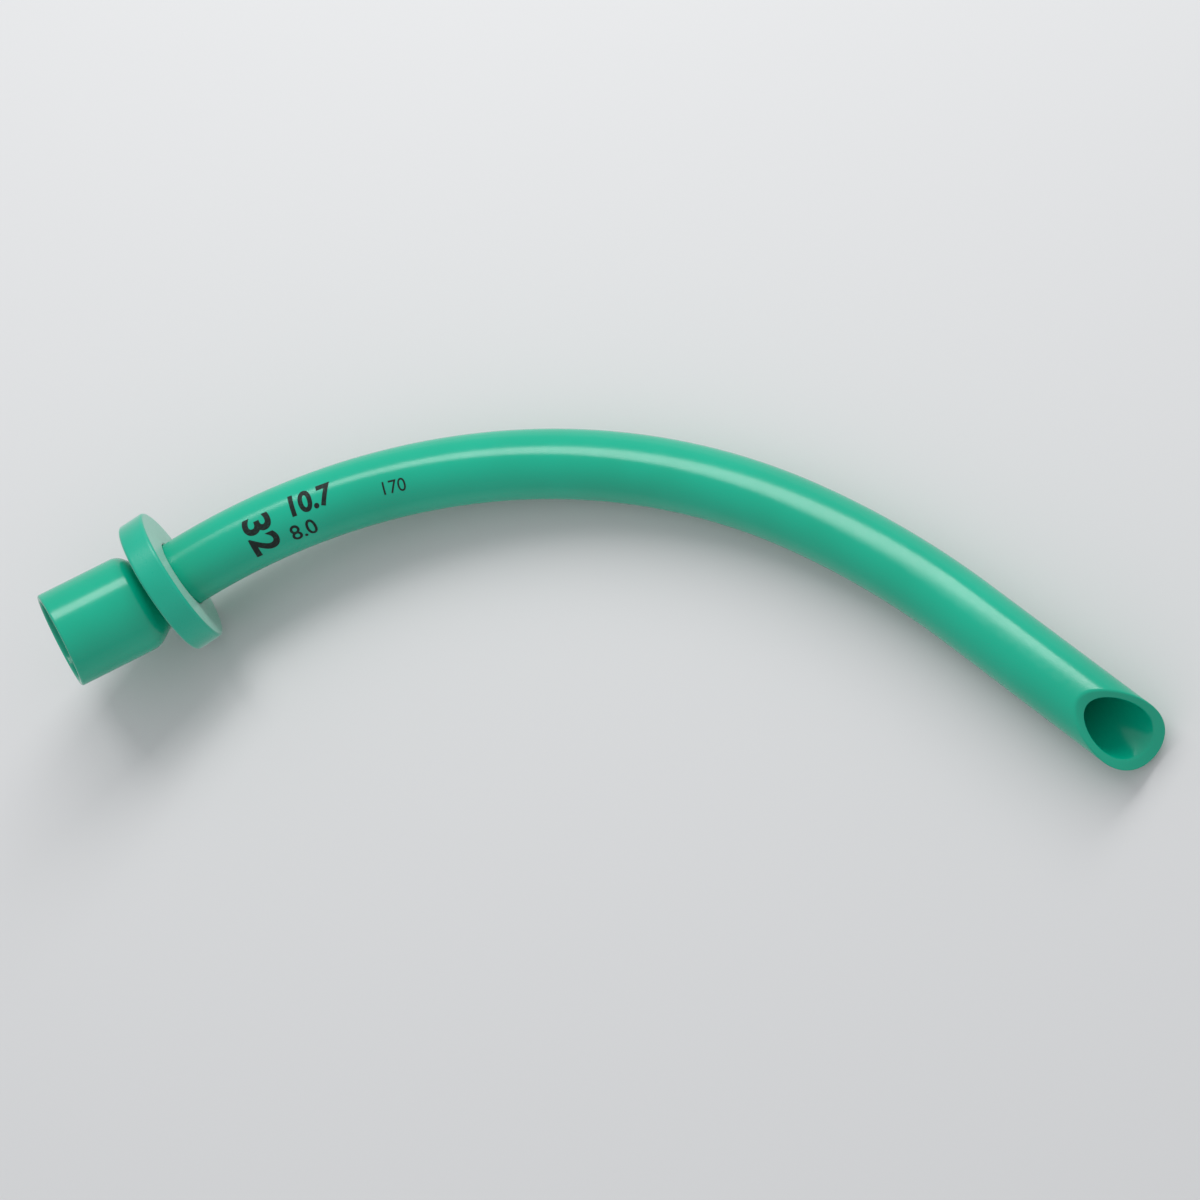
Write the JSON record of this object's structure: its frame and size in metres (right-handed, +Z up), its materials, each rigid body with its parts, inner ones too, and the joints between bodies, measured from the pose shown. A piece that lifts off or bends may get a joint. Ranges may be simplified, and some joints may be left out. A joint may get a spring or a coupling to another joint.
{
  "type": "nasopharyngeal airway",
  "caption": "Curved soft tube with a flared bell end, a sliding flange ring and a bevelled tip, for keeping the nasal air passage open.",
  "frame": {"origin": "the middle of the footprint, on the surface that the airway lies on", "axes": "+X from the bell towards the tip, +Y towards the outside of the bend, +Z up, the side that the bevel opens to"},
  "size_m": [0.1778, 0.0534, 0.0244],
  "materials": {
    "tube_plastic": "satin-gloss soft green plastic",
    "ring_plastic": "matte soft green plastic"
  },
  "bodies": {
    "tube": {"airway_tube": "tube_plastic"},
    "flange": {"flange_ring": "ring_plastic"}
  },
  "joints": [
    {"name": "flange_slide", "type": "hinge", "parent": "tube", "child": "flange", "pos_m": [-0.01014, -0.08213, 0.01713], "axis": [-0.0498, -0.1017, -0.9936], "range_deg": [0, 40]}
  ]
}
